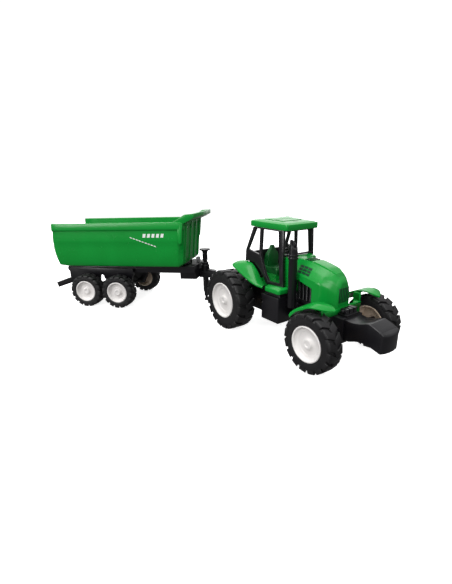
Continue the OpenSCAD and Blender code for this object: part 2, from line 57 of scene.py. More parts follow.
def ground_frame(joint):
    """Millimetre frame on the ground under a wheel axle, +Y along the axle."""
    x, y, _ = JOINTS[joint]["pos_m"]
    ax, ay, _ = JOINTS[joint]["axis"]
    turn = Matrix.Rotation(atan2(-ax, ay), 4, "Z")
    return Matrix.Translation((x, y, 0)) @ turn @ Matrix.Scale(MM, 4)


def about_y(x, angle):
    """Turn about the Y line through (x, 0)."""
    there = Matrix.Translation((x, 0, 0))
    return there @ Matrix.Rotation(radians(angle), 4, "Y") @ there.inverted()


TRACTOR = ground_frame("rear_axle_spin")
TRAILER = ground_frame("trailer_front_axle_spin")
# the tub rests with its front a little raised, turned about this line
BODY_RISE = 1.1
RISE_X = -25
TUB_FRAME = TRAILER @ about_y(RISE_X, -BODY_RISE)


# ---------------------------------------------------------------- materials
RELIEF_DEPTH = 0.0002


def new_material(name, roughness, **settings):
    """A material with its shader's plain inputs set; an underscore stands for a space."""
    mat = bpy.data.materials.new(name)
    mat.use_nodes = True
    shader = mat.node_tree.nodes["Principled BSDF"]
    shader.inputs["Roughness"].default_value = roughness
    for key, value in settings.items():
        shader.inputs[key.replace("_", " ")].default_value = value
    return mat, mat.node_tree, shader


def noise(tree, scale, detail, distortion=0.0):
    """A noise value, fixed to the piece."""
    place = tree.nodes.get("Texture Coordinate") or tree.nodes.new("ShaderNodeTexCoord")
    place.name = "Texture Coordinate"
    node = tree.nodes.new("ShaderNodeTexNoise")
    node.inputs["Scale"].default_value = scale
    node.inputs["Detail"].default_value = detail
    node.inputs["Distortion"].default_value = distortion
    tree.links.new(place.outputs["Object"], node.inputs["Vector"])
    return node.outputs["Fac"]


def ramp(tree, source, stops):
    """Colours at the given places of a value from 0 to 1."""
    node = tree.nodes.new("ShaderNodeValToRGB")
    elements = node.color_ramp.elements
    while len(elements) < len(stops):
        elements.new(0.5)
    for element, (position, colour) in zip(elements, stops):
        element.position = position
        element.color = (*colour, 1)
    tree.links.new(source, node.inputs["Fac"])
    return node.outputs["Color"]


def to_range(tree, source, low, high):
    """A value from 0 to 1 spread from low to high."""
    node = tree.nodes.new("ShaderNodeMapRange")
    node.inputs["To Min"].default_value = low
    node.inputs["To Max"].default_value = high
    tree.links.new(source, node.inputs["Value"])
    return node.outputs["Result"]


def moulded(name, dark, light, roughness, grain, bump, drift=14, **settings):
    """Moulded plastic: slow colour drift, uneven gloss and a fine surface grain."""
    mat, tree, shader = new_material(name, sum(roughness) / 2, **settings)
    slow = noise(tree, drift, detail=4, distortion=0.6)
    tree.links.new(ramp(tree, slow, [(0.3, dark), (0.7, light)]), shader.inputs["Base Color"])
    gloss = noise(tree, drift * 6, detail=5)
    tree.links.new(to_range(tree, gloss, *roughness), shader.inputs["Roughness"])
    fine = noise(tree, grain, detail=2)
    relief = tree.nodes.new("ShaderNodeBump")
    relief.inputs["Strength"].default_value = bump
    relief.inputs["Distance"].default_value = RELIEF_DEPTH
    tree.links.new(fine, relief.inputs["Height"])
    tree.links.new(relief.outputs["Normal"], shader.inputs["Normal"])
    return mat


GREEN = moulded(
    "green_plastic", (0.002, 0.235, 0.026), (0.003, 0.285, 0.035), (0.22, 0.3), 900, 0.05,
    Specular_IOR_Level=0.36)
# the green plastic darkened to paint shade, on the seat under the roof and in the roof's grooves
GREEN_PAINTED_SHADE = moulded(
    "green_painted_shade", (0.0015, 0.1, 0.016), (0.0025, 0.14, 0.022), (0.35, 0.5), 900, 0.15)
BLACK = moulded(
    "black_plastic", (0.0045, 0.0042, 0.0055), (0.008, 0.0075, 0.0095), (0.24, 0.36), 1500, 0.3,
    Specular_IOR_Level=0.45)
TRIM = moulded(
    "dark_trim", (0.002, 0.026, 0.011), (0.004, 0.038, 0.017), (0.35, 0.5), 1500, 0.2,
    Specular_IOR_Level=0.3)
GREY = moulded(
    "grey_plastic", (0.26, 0.26, 0.265), (0.32, 0.32, 0.325), (0.35, 0.5), 1500, 0.25)
TYRE = moulded(
    "tyre_plastic", (0.006, 0.0056, 0.0065), (0.0105, 0.01, 0.011), (0.4, 0.6), 1300, 0.45,
    drift=30, Specular_IOR_Level=0.4)
RIM = moulded(
    "rim_plastic", (0.72, 0.695, 0.68), (0.8, 0.775, 0.76), (0.3, 0.42), 1100, 0.12,
    Specular_IOR_Level=0.4)
# the rim's white plastic warmed and darkened, a painted shade for the inside of the rim's hollow back
RIM_PAINTED_SHADE = moulded(
    "rim_plastic_inside", (0.62, 0.5, 0.39), (0.74, 0.62, 0.5), (0.4, 0.55), 1100, 0.2,
    Specular_IOR_Level=0.3)
DECAL = moulded(
    "decal_white", (0.78, 0.82, 0.79), (0.86, 0.88, 0.86), (0.3, 0.4), 2500, 0.05)
STEEL = moulded(
    "steel_rod", (0.2, 0.2, 0.21), (0.3, 0.3, 0.31), (0.28, 0.45), 2200, 0.25, Metallic=1.0)

SLOTS = {
    "green_shell": GREEN, "black_body": BLACK, "dark_trim": TRIM, "grey_body": GREY,
    "tyre": TYRE, "rim": RIM, "decal": DECAL, "steel": STEEL,
}
SLOT_OF = {part["node"]: part["material_slot"] for part in frame["record"]["subparts"]}
BODY_OF = {
    node: body
    for body, nodes in frame["record"]["behaviour"]["bodies"].items()
    for node in nodes
}


# ---------------------------------------------------------------- mesh tools
# points this close are one point, and faces within this angle are one face
WELD = 0.0005
CAD_WELD = 0.002
FLAT_ANGLE = 0.8


def grid(bm, rings, loop=True, closed=False):
    """Quads between rings of the same number of points."""
    rows = [[bm.verts.new(p) for p in ring] for ring in rings]
    count = len(rows[0])
    pairs = list(zip(rows, rows[1:] + rows[:1])) if closed else list(zip(rows, rows[1:]))
    for a, b in pairs:
        for i in range(count if loop else count - 1):
            j = (i + 1) % count
            bm.faces.new((a[i], a[j], b[j], b[i]))
    return rows


def loft(bm, rings):
    """A closed solid through rings."""
    rows = grid(bm, rings)
    bm.faces.new(rows[0][::-1])
    bm.faces.new(rows[-1])


def box(bm, lo, hi):
    """A block between two corners."""
    x0, y0, z0 = lo
    x1, y1, z1 = hi
    loft(bm, [[(x0, y0, z), (x1, y0, z), (x1, y1, z), (x0, y1, z)] for z in (z0, z1)])


def slab(bm, outline, y0, y1):
    """A side-view outline (x, z) between y0 and y1."""
    loft(bm, [[(x, y, z) for x, z in outline] for y in (y0, y1)])


def plate(bm, outline, holes, y0, y1):
    """A side-view outline (x, z) with holes through it, between y0 and y1."""
    edges = []
    for loop in (outline, *holes):
        verts = [bm.verts.new((x, y0, z)) for x, z in loop]
        edges += [bm.edges.new(pair) for pair in zip(verts, verts[1:] + verts[:1])]
    made = bmesh.ops.triangle_fill(bm, use_beauty=True, edges=edges)["geom"]
    sheet = [g for g in made if isinstance(g, bmesh.types.BMFace)]
    moved = bmesh.ops.extrude_face_region(bm, geom=sheet)["geom"]
    verts = [g for g in moved if isinstance(g, bmesh.types.BMVert)]
    bmesh.ops.translate(bm, vec=(0, y1 - y0, 0), verts=verts)


def turned(bm, profile, place=None, count=96):
    """A profile (r, z) turned round Z; it may start or end on the axis."""
    place = place or Matrix.Identity(4)
    rings = [
        [place @ Vector((r * cos(a), r * sin(a), z)) for r, z in profile]
        for a in (tau * i / count for i in range(count))
    ]
    before = set(bm.verts)
    grid(bm, rings, loop=False, closed=True)
    made = [v for v in bm.verts if v not in before]
    bmesh.ops.remove_doubles(bm, verts=made, dist=WELD)


def rounded(bm, width, segments=2, least=25.0):
    """Rounds every edge sharper than least degrees."""
    bmesh.ops.dissolve_limit(bm, angle_limit=radians(FLAT_ANGLE), verts=bm.verts, edges=bm.edges)
    sharp = [
        e for e in bm.edges
        if len(e.link_faces) == 2 and e.calc_face_angle(0) > radians(least)
    ]
    bmesh.ops.bevel(bm, geom=sharp, offset=width, offset_type="OFFSET", segments=segments,
                    profile=0.5, affect="EDGES", clamp_overlap=True)


def thicken(bm, thickness, up=True):
    """Gives an open sheet a back, once its normals face up, or down, on the whole."""
    bmesh.ops.recalc_face_normals(bm, faces=bm.faces)
    if (sum(f.normal.z * f.calc_area() for f in bm.faces) > 0) != up:
        bmesh.ops.reverse_faces(bm, faces=bm.faces)
    bmesh.ops.solidify(bm, geom=bm.faces[:], thickness=thickness)


def absorb(bm, source):
    """Adds another mesh to this one, and frees it."""
    mesh = bpy.data.meshes.new("absorbed")
    source.to_mesh(mesh)
    source.free()
    bm.from_mesh(mesh)
    bpy.data.meshes.remove(mesh)


def piece(name, bm, place, material, nodes, smooth=32, extra=()):
    """Finishes a mesh as a piece that stands for CAD nodes."""
    nodes = [nodes] if isinstance(nodes, str) else list(nodes)
    bm.transform(place)
    bmesh.ops.recalc_face_normals(bm, faces=bm.faces)
    mesh = bpy.data.meshes.new(name)
    bm.to_mesh(mesh)
    bm.free()
    for m in (material, *extra):
        mesh.materials.append(m)
    for p in mesh.polygons:
        p.use_smooth = True
    mesh.set_sharp_from_angle(angle=radians(smooth))
    obj = bpy.data.objects.new(name, mesh)
    scene.collection.objects.link(obj)
    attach(obj, BODY_OF[nodes[0]])
    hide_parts(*nodes)


def softened(node, width, segments=2, material=None, change=Matrix()):
    """The CAD node's own shape, after a change in the tractor's frame, with rounded edges."""
    bm = bmesh.new()
    bm.from_mesh(frame["nodes"][node].data)
    bm.transform(Matrix.Scale(1 / MM, 4) @ TRACTOR @ change @ TRACTOR.inverted())
    bmesh.ops.remove_doubles(bm, verts=bm.verts, dist=CAD_WELD)
    rounded(bm, width, segments)
    piece("v_" + node, bm, Matrix.Scale(MM, 4), material or SLOTS[SLOT_OF[node]], node)


def smooth_path(points, steps):
    """Points on a smooth curve through the given ones."""
    pts = [Vector(p) for p in points]
    pts = [2 * pts[0] - pts[1], *pts, 2 * pts[-1] - pts[-2]]
    out = []
    for a, b, c, d in zip(pts, pts[1:], pts[2:], pts[3:]):
        for k in range(steps):
            t = k / steps
            out.append(0.5 * (2 * b + (c - a) * t + (2 * a - 5 * b + 4 * c - d) * t ** 2
                              + (3 * b - a - 3 * c + d) * t ** 3))
    return [*out, pts[-2]]


def value_at(table, x):
    """Straight-line reading of a table of (x, value)."""
    if x <= table[0][0]:
        return table[0][1]
    for (x0, v0), (x1, v1) in zip(table, table[1:]):
        if x <= x1:
            return v0 + (v1 - v0) * (x - x0) / (x1 - x0)
    return table[-1][1]


# ---------------------------------------------------------------- wheels
# in steps from lug to lug: how far a lug leads at the middle, and each row's shift
LUG_SWEEP = 0.42
ROW_OFFSET = 0.25


def tyre_mesh(r, rim_r, w, depth, count):
    """A tyre lying from z = 0 to w, with two rows of lugs that sweep ahead to the middle."""
    bm = bmesh.new()
    drum = r - depth
    side = [
        (rim_r - 0.3, 1.6), (rim_r + 0.2, 0.7), (rim_r + 1.0, 0.25), (rim_r + 2.2, 0.1),
        (0.45 * rim_r + 0.55 * drum, 0.0), (0.2 * rim_r + 0.8 * drum, 0.3), (drum - 1.6, 1.0),
        (drum - 0.6, 1.9), (drum - 0.1, 3.0), (drum + 0.2, w * 0.3),
    ]
    profile = side + [(drum + 0.3, w / 2)] + [(a, w - z) for a, z in reversed(side)]
    turned(bm, profile, count=128)
    pitch = tau / count
    # along a bar: share of the half width, foot radius, top radius, half width of foot and top
    stations = [
        (-0.1, drum - 0.5, r - 0.1, 0.34, 0.29), (0.3, drum - 0.5, r, 0.36, 0.31),
        (0.7, drum - 0.8, r - 0.1, 0.385, 0.34), (0.9, drum - 1.5, r - 0.3, 0.395, 0.355),
        (0.975, drum - 2.0, r - 0.8, 0.395, 0.355), (1.01, drum - 2.7, r - 1.6, 0.385, 0.345),
    ]
    lugs = bmesh.new()
    for half in (-1, 1):
        for i in range(count):
            rings = []
            for share, foot, top, wide, narrow in stations:
                lead = LUG_SWEEP * (1 - min(share, 0.9)) ** 1.1
                mid = (i + half * ROW_OFFSET + lead) * pitch
                z = w / 2 + half * share * w / 2
                rings.append([
                    (rad * cos(mid + off * pitch), rad * sin(mid + off * pitch), z)
                    for rad, off in ((foot, -wide), (top, -narrow), (top, narrow), (foot, wide))
                ])
            loft(lugs, rings)
    bmesh.ops.recalc_face_normals(lugs, faces=lugs.faces)
    rounded(lugs, 0.28, 2, 28)
    absorb(bm, lugs)
    return bm


def rim_mesh(r, w, hub):
    """A dished rim of radius r with a raised hub, its face outwards and its back hollow."""
    bm = bmesh.new()
    face = [
        (r, 1.0), (r, w - 1.0), (r + 0.15, w - 0.3), (r - 0.1, w + 0.2), (r - 0.6, w + 0.42),
        (r - 1.2, w + 0.32), (r - 1.6, w - 0.1), (r - 1.9, w - 1.2), (r - 2.3, w - 2.2),
        (r - 3.0, w - 2.9), (r * 0.76, w - 3.35), (r * 0.69, w - 3.45), (r * 0.665, w - 3.65),
        (r * 0.655, w - 4.0), (r * 0.6, w - 4.2), (r * 0.45, w - 4.2), (hub + 2.0, w - 4.0),
        (hub + 0.9, w - 3.6), (hub + 0.3, w - 2.9), (hub + 0.1, w - 1.9), (hub - 0.25, w - 1.45),
        (hub - 0.9, w - 1.3), (hub * 0.52, w - 1.3), (hub * 0.44, w - 1.5), (hub * 0.4, w - 1.9),
        (0, w - 1.95),
    ]
    back = [
        (0, w - 5.6), (r * 0.6, w - 5.7), (r - 3.6, w - 5.0), (r - 2.1, w - 6.2),
        (r - 1.5, w - 8.0), (r - 1.5, 2.0), (r - 1.2, 1.0), (r, 1.0),
    ]
    turned(bm, face)
    turned(bm, back)
    bmesh.ops.remove_doubles(bm, verts=bm.verts, dist=WELD)
    # the hollow back takes the second material, a warm tan that paints the shade inside the rim on the same white
    # plastic
    for f in bm.faces:
        c = f.calc_center_median()
        inside = Vector((c.x, c.y)).length < r - 0.3 and c.z < w - 4.6
        f.material_index = 1 if inside else 0
    return bm


def wheel_place(base, x, radius, face_y, w, side):
    """Where a wheel stands: its outer side at face_y, to the left or right."""
    shift = Matrix.Translation((x, side * (face_y - w), radius))
    return base @ shift @ Matrix.Rotation(radians(-90 * side), 4, "X")


TRACTOR_FACE = 54.5
TRAILER_FACE = 51.8
WHEELBASE = 136.0
BOGIE_SPACING = 49.4
REAR_RADIUS = 36.0
FRONT_RADIUS = 29.0
TRAILER_RADIUS = 23.7
HUB_WALL = 2.6
AXLE_SLEEVE = 1.1
# name, frame, x, tyre radius, rim radius, width, lug depth, lugs, outer face, axle radius,
# y where the sleeve on the axle starts
AXLES = [
    ("rear", TRACTOR, 0.0, REAR_RADIUS, 21.2, 23.0, 2.4, 18, TRACTOR_FACE, 2.5, 31.0),
    ("front", TRACTOR, WHEELBASE, FRONT_RADIUS, 17.4, 17.0, 2.1, 16, TRACTOR_FACE, 2.5, 34.2),
    ("trailer_front", TRAILER, 0.0, TRAILER_RADIUS, 14.8, 16.0, 1.7, 16, TRAILER_FACE, 2.0, 31.0),
    ("trailer_rear", TRAILER, -BOGIE_SPACING, TRAILER_RADIUS, 14.8, 16.0, 1.7, 16, TRAILER_FACE,
     2.0, 31.0),
]
for name, base, x, r, rim_r, w, depth, lugs, face_y, axle_r, sleeve_y in AXLES:
    for side, word in ((1, "left"), (-1, "right")):
        place = wheel_place(base, x, r, face_y, w, side)
        bm = tyre_mesh(r, rim_r, w, depth, lugs)
        if side < 0:
            bmesh.ops.scale(bm, vec=(1, -1, 1), verts=bm.verts)
        piece(f"v_{name}_tyre_{word}", bm, place, TYRE, f"{name}_tyre_{word}", 40)
        bm = rim_mesh(rim_r, w, axle_r + HUB_WALL)
        piece(f"v_{name}_rim_{word}", bm, place, RIM, f"{name}_rim_{word}", 40, (RIM_PAINTED_SHADE,))
    bm = bmesh.new()
    end = face_y - 5
    sleeve = axle_r + AXLE_SLEEVE
    for side in (1, -1):
        turn = Matrix.Translation((x, 0, r)) @ Matrix.Rotation(radians(-90 * side), 4, "X")
        turned(bm, [(0, 0), (axle_r, 0), (axle_r, sleeve_y + 0.2), (sleeve, sleeve_y + 0.5),
                    (sleeve + 0.3, sleeve_y + 1.2), (sleeve, sleeve_y + 2.2), (sleeve, end - 0.6),
                    (sleeve + 1.2, end), (0, end)], turn, 48)
    piece(f"v_{name}_axle", bm, base, BLACK, f"{name}_axle", 35)

# ---------------------------------------------------------------- CAD shapes with softer edges
RECOLOURED = {"cab_floor": GREEN, "front_fender_bar": GREEN, "tub_rest": GREY}
# a rounding wider than this takes one more segment
BROAD = 0.9
for node, width in (
    ("chassis", 1.0), ("engine_block", 0.5), ("side_tank_left", 1.3), ("side_tank_right", 1.3),
    ("tow_bar", 0.8), ("hitch_pin", 0.5), ("front_axle_beam", 0.8), ("front_hitch_block", 0.5),
    ("cab_rear_frame", 0.8), ("cab_floor", 0.8), ("front_fender_bar", 0.5),
    ("trailer_chassis", 0.7), ("bogie_left", 0.6), ("bogie_right", 0.6), ("drawbar", 0.7),
    ("tub_rest", 0.5), ("rear_tow_eye", 0.8), ("chassis_screws", 0.2), ("tub_hinge_pin", 0.4),
    ("grille", 0.25),
):
    softened(node, width, 3 if width > BROAD else 2, material=RECOLOURED.get(node))

# the stack stands a little further forward and is stouter than the CAD's
STACK_X, STACK_Y, STACK_SHIFT, STACK_GROWTH = 87.3, -26.0, 0.9, 1.15
softened("exhaust", 0.35, change=(
    Matrix.Translation((STACK_X + STACK_SHIFT, STACK_Y, 0))
    @ Matrix.Diagonal((STACK_GROWTH, STACK_GROWTH, 1, 1))
    @ Matrix.Translation((-STACK_X, -STACK_Y, 0))
))

# ---------------------------------------------------------------- tractor: cab
CAB_FLOOR_Z = 63
bm = bmesh.new()
slab(bm, [(67, CAB_FLOOR_Z), (78.8, CAB_FLOOR_Z), (78.8, 93.4), (67, 95.5)], -19, 19)
rounded(bm, 0.9, 3)
piece("v_dashboard", bm, TRACTOR, GREEN, "dashboard")

# a side frame stands this far from the middle, then turns in to the front and leans in above
SIDE_PLANE_Y, SIDE_PLAN_ANGLE, SIDE_LEAN = 34.5, 9.4, 2.0
FLOOR_GAP = 0.1
SIDE_OUTLINE = [(18, 85), (18.5, 97.5), (29, 124), (71, 122.6), (71.5, 92), (73.5, CAB_FLOOR_Z),
                (50, CAB_FLOOR_Z), (46, 68.5), (40, 77), (31.5, 84.8)]
QUARTER_LIGHT = [(22, 98.5), (32.8, 122.4), (38.8, 122.3), (38.2, 94.2)]
DOORWAY = [(42.2, 122.2), (64, 121.4), (66, 92), (68.5, 66), (53.5, 66), (48.5, 74), (44, 85),
           (41.4, 94)]
for side, word in ((1, "left"), (-1, "right")):
    bm = bmesh.new()
    plate(bm, SIDE_OUTLINE, (QUARTER_LIGHT, DOORWAY), -1.5, 1.5)
    rounded(bm, 0.8)
    lean = (
        Matrix.Diagonal((1, -side, 1, 1))
        @ Matrix.Translation((0, -SIDE_PLANE_Y, CAB_FLOOR_Z + FLOOR_GAP))
        @ Matrix.Rotation(radians(SIDE_PLAN_ANGLE), 4, "Z")
        @ Matrix.Rotation(radians(-SIDE_LEAN), 4, "X")
        @ Matrix.Translation((0, 0, -CAB_FLOOR_Z))
    )
    piece(f"v_cab_side_{word}", bm, TRACTOR @ lean, BLACK, f"cab_side_{word}")

# windscreen: a bar under the roof and one above the dashboard
bm = bmesh.new()
box(bm, (65, -17.5, 120.8), (69, 17.5, 123))
box(bm, (68, -20, 95.6), (71, 20, 97.2))
rounded(bm, 0.6)
piece("v_windscreen_frame", bm, TRACTOR, BLACK, "windscreen_frame")

# seat: cushion, and a back that narrows to the headrest
bm = bmesh.new()
cushion = [(25.5, 68), (48, 68), (49, 75.5), (46.5, 78.3), (42, 78), (30, 76.6), (25.5, 78)]
slab(bm, cushion, -11, 11)
# x of its back and face, half width, height
back = [(22, 29, 8.6, 75.5), (22.4, 29.8, 8.6, 82), (23.2, 30.4, 8.2, 88), (24, 30.2, 7, 92),
        (24.6, 29.6, 4.6, 95), (25, 29.4, 3.2, 98), (25.4, 28.8, 2.6, 100.8)]
loft(bm, [[(x0, -w, z), (x1, -w, z), (x1, w, z), (x0, w, z)] for x0, x1, w, z in back])
rounded(bm, 1.2, 3)
# the seat takes the darker green, a painted shade for the shade under the roof
piece("v_seat", bm, TRACTOR, GREEN_PAINTED_SHADE, "seat", 40)

# nose weight: an arm rising to a ridge, then a broad face sloping down to a rounded front
WEIGHT_HALF = 12.5
# x, top, underside
WEIGHT = [
    (145, 46.4, 24.4), (149, 45.8, 25.2), (152, 45.4, 25.8), (157, 45.8, 27.8), (161, 46.6, 28.8),
    (165, 48, 29.2), (168, 49.1, 29.1), (171, 49.8, 28.9), (175, 48.4, 27.9), (179, 46.8, 26.6),
    (182.5, 45.3, 25.5),
]
bm = bmesh.new()
rings = [
    [(x, -WEIGHT_HALF, low), (x, WEIGHT_HALF, low), (x, WEIGHT_HALF, top), (x, 0, top),
     (x, -WEIGHT_HALF, top)]
    for x, top, low in WEIGHT
]
end = 183.2
rings.append([(end, -WEIGHT_HALF, 25.4), (end, WEIGHT_HALF, 25.4), (end, WEIGHT_HALF, 45),
              (end, 0, 44.8), (end, -WEIGHT_HALF, 45)])
loft(bm, rings)
nose = [(182.4, -12.5), (185.2, -12.2), (187, -8.6), (187.9, -3), (187.9, 3), (187, 8.6),
        (185.2, 12.2), (182.4, 12.5)]
NOSE_RIDGE_X, NOSE_SLOPE = 184, 0.38
loft(bm, [
    [(x - inset, y, z + (NOSE_RIDGE_X - x) * NOSE_SLOPE * sloping) for x, y in nose]
    for z, inset, sloping in ((25.3, 1.2, 0), (26.6, 0.2, 0), (43.2, 0, 1), (45, 1.2, 1))
])
rounded(bm, 1.1, 3, 28)
piece("v_front_weight", bm, TRACTOR, BLACK, "front_weight", 40)

# ---------------------------------------------------------------- tractor: hood
# along the hood: height of its top, its half width, and the edge of the gap behind CUT_X
HOOD_TOP = [
    (79, 94.6), (90, 93.9), (100, 92.9), (108, 91.4), (114, 90.0), (119, 88.6), (120, 88.2),
    (126, 85.1), (131.2, 80.0), (132.2, 78.3), (132.6, 77),
]
HOOD_HALF = [
    (79, 20.0), (90, 20.4), (100, 20.6), (108, 20.6), (114, 20.4), (118.4, 20.1), (119.6, 19.6),
    (126, 15.1), (131.2, 10.2), (132.2, 9.0), (132.6, 8.2),
]
CUT_X = 109.5
HOOD_CUT = [(79, 75.5), (89, 75.3), (CUT_X, 69.7)]
CUT_MARGIN = 0.8
HOOD_BOTTOM = 49.5
HOOD_WALL = 1.6
HOOD_X = [79, 83, 89, 95, 102, CUT_X, 112, 115, 118.4, 119, 119.6, 122, 124, 126, 128, 130, 131.2,
          131.8, 132.2, 132.6]
# the section's shoulders are drawn for this half width
DRAWN_HALF = 20.5


def hood_points(x):
    """Half section (y, z) of the hood from its bottom edge to its centre line."""
    top, half, cut = value_at(HOOD_TOP, x), value_at(HOOD_HALF, x), value_at(HOOD_CUT, x)
    low = min(cut, top - 18)
    k = half / DRAWN_HALF
    return [
        (half, HOOD_BOTTOM), (half, (HOOD_BOTTOM + low) / 2), (half, low), (half, top - 16),
        (half - 0.15, top - 13.5), (half - 0.75, top - 12), (half - 1.6, top - 10.6),
        (k * 15.4, top - 6.6), (k * 14.5, top - 5.55), (k * 13.4, top - 4.65),
        (k * 9.4, top - 1.35), (k * 8.5, top - 0.75), (k * 7.5, top - 0.5), (k * 4, top - 0.15),
        (0, top),
    ]


def hood_skin(x):
    """The hood's whole section at x, from one bottom edge over the top to the other."""
    half = hood_points(x)
    return [(x, y, z) for y, z in half] + [(x, -y, z) for y, z in reversed(half[:-1])]


bm = bmesh.new()
rows = grid(bm, [hood_skin(x) for x in HOOD_X], loop=False)
bm.faces.new(rows[-1])
low_faces = []
for face in bm.faces:
    centre = face.calc_center_median()
    if centre.x < CUT_X and centre.z < value_at(HOOD_CUT, centre.x) - CUT_MARGIN:
        low_faces.append(face)
bmesh.ops.delete(bm, geom=low_faces, context="FACES")
thicken(bm, HOOD_WALL)
# raised panel along the top, sinking into the hood at both ends
PANEL_X = (98.5, 99.2, 105, 111, 116, 120, 123.5, 126, 128)
PANEL_LIFT = 0.75
PANEL_SHARE = 0.39
panel = []
for x in PANEL_X:
    top = value_at(HOOD_TOP, x)
    half = PANEL_SHARE * value_at(HOOD_HALF, x) - (0.6 if x == PANEL_X[0] else 0.3)
    raised = top + (0.1 if x in (PANEL_X[0], PANEL_X[-1]) else PANEL_LIFT)
    section = [(half, top - 1.2), (half - 0.1, raised - 0.6), (half - 0.7, raised - 0.3),
               (half * 0.5, raised)]
    panel.append([(x, y, z) for y, z in section] + [(x, -y, z) for y, z in reversed(section)])
loft(bm, panel)
piece("v_hood", bm, TRACTOR, GREEN, "hood", 17)

# three ribs across the top behind the panel, and rows of vents down both shoulders
bm = bmesh.new()
for x in (87.2, 90.4, 93.6):
    top = value_at(HOOD_TOP, x)
    box(bm, (x, -6.4, top - 1), (x + 1.7, 6.4, top + 0.35))
    box(bm, (x + 0.2, -7.4, top - 1), (x + 1.4, -6.9, top + 0.2))
rounded(bm, 0.25)
VENT_X, VENT_SPACING, VENT_LENGTH, VENT_HEIGHT = 88.6, 5.4, 4.7, 1.9
VENT_DROP, ROW_SPACING, ROW_SHIFT = 4.6, 2.5, 0.3
VENT_ROWS = 3
VENTS_IN_ROW = 3
for side in (1, -1):
    for row in range(VENT_ROWS):
        for k in range(VENTS_IN_ROW):
            x0 = VENT_X + k * VENT_SPACING - row * ROW_SHIFT
            x1 = x0 + VENT_LENGTH
            corners = []
            for x, below in ((x0, VENT_HEIGHT), (x0, 0), (x1, 0), (x1, VENT_HEIGHT)):
                drop = VENT_DROP + (VENT_ROWS - 1 - row) * ROW_SPACING + below
                z = value_at(HOOD_TOP, x) - drop
                shoulder = sorted((height, y) for y, height in hood_points(x))
                corners.append(Vector((x, side * value_at(shoulder, z), z)))
            out = Vector((0, side * 0.75, 0.45))
            loft(bm, [[p - out * 0.5 for p in corners], [p + out * 0.28 for p in corners]])
piece("v_hood_vents", bm, TRACTOR, TRIM, "hood_vents", 30)

# ---------------------------------------------------------------- tractor: roof
ROOF_Z = 122.7
ROOF_SLOPE = 2.0
ROOF_FRONT = 75.0
ROOF = TRACTOR @ Matrix.Translation((0, 0, ROOF_Z)) @ about_y(ROOF_FRONT, ROOF_SLOPE)


# centres of the four rounded corners, and their radius
ROOF_CORNERS = [(24.6, 26.2), (24.6, -26.2), (72.8, -20.8), (72.8, 20.8)]
ROOF_ROUNDING = 2.8
LEAST_ROUNDING = 0.8
CORNER_STEPS = 6


def roof_ring(inset, z):
    """The roof's outline with rounded corners, drawn in by inset, at height z."""
    r = max(ROOF_ROUNDING - inset, LEAST_ROUNDING)
    move = inset - (ROOF_ROUNDING - r)
    ring = []
    for k, (x, y) in enumerate(ROOF_CORNERS):
        cx = x + (move if k < 2 else -move)
        cy = y - move if y > 0 else y + move
        for i in range(CORNER_STEPS + 1):
            a = radians(90 + 90 * k + 90 * i / CORNER_STEPS)
            ring.append((cx + r * cos(a), cy + r * sin(a), z))
    return ring


# a dished underside, a lip, a straight side and a low crown with three raised panels
bm = bmesh.new()
loft(bm, [roof_ring(inset, z) for inset, z in (
    (3.4, 0.9), (2.4, 0.7), (1.7, 0.1), (0.8, 0.0), (0.2, 0.25), (0, 0.8), (0.05, 5.3),
    (0.35, 6.1), (0.9, 6.45), (2.6, 6.7), (3.0, 6.95), (3.5, 7.2), (9, 7.55), (15, 7.7),
)])
for x0, x1, y0, y1 in ((31, 45.6, 0.5, 15.5), (31, 45.6, -15.5, -0.5), (47.4, 58.6, -14, 14)):
    box(bm, (x0, y0, 6.6), (x1, y1, 8.15))
piece("v_cab_roof", bm, ROOF, GREEN, "cab_roof", 30)

# painted shade: dark green blocks in the grooves between the panels and ahead of them
bm = bmesh.new()
box(bm, (61.4, -3.4, 6.2), (64.6, 3.4, 7.75))
box(bm, (46, -14.4, 6.2), (47, 14.4, 7.8))
box(bm, (32, -0.35, 6.2), (45.6, 0.35, 7.95))
rounded(bm, 0.2)
piece("v_cab_roof_slot_shade", bm, ROOF, GREEN_PAINTED_SHADE, "cab_roof", 30)

# ---------------------------------------------------------------- tractor: fenders
# a rear fender is crowned between its edge at the cab and its outer edge, both from back to front
FENDER_INNER = [(-2, 30, 79.5), (5, 30, 82.8), (18, 30, 84.4), (28, 30, 82.6), (37, 30, 75.6),
                (43, 30, 68.4), (49.5, 30, 61.6)]
FENDER_OUTER = [(1, 38.5, 79.2), (7, 41.5, 79), (18, 43, 76), (30, 43, 71.6), (40, 42.5, 67.6),
                (48, 41, 65), (55, 37.5, 62.8)]
REAR_FENDER_WALL = 1.5
REAR_FENDER_CROWN = 1.9
REAR_FENDER_STEPS = 8
for side, word in ((1, "left"), (-1, "right")):
    bm = bmesh.new()
    rings = []
    inner, outer = smooth_path(FENDER_INNER, 4), smooth_path(FENDER_OUTER, 4)
    for k, (a, b) in enumerate(zip(inner, outer)):
        t = k / (len(inner) - 1)
        crown = REAR_FENDER_CROWN * sin(pi * min(max(t * 1.05, 0.06), 0.97)) ** 0.6
        ring = []
        for i in range(REAR_FENDER_STEPS + 1):
            share = i / REAR_FENDER_STEPS
            ring.append(a.lerp(b, share) + Vector((0, 0.35, 1)) * crown * sin(pi * share) ** 0.8)
        edge = ring[-1]
        ring += [edge + Vector((0, 0.5, -0.35)), edge + Vector((0, 0.75, -1.1)),
                 edge + Vector((0, 0.6, -2.2))]
        rings.append([(p.x, side * p.y, p.z) for p in ring])
    grid(bm, rings, loop=False)
    thicken(bm, REAR_FENDER_WALL)
    piece(f"v_rear_fender_{word}", bm, TRACTOR, GREEN, f"rear_fender_{word}", 50)

# a front fender arches over its wheel; angles are taken from the top, ahead is positive
ARC_BACK, ARC_LENGTH, ARC_STEPS = -57, 80.5, 32
FRONT_FENDER_WALL = 1.4
FRONT_FENDER_RADIUS = 35.3
FRONT_FENDER_STEPS = 10
FENDER_IN = 30.4
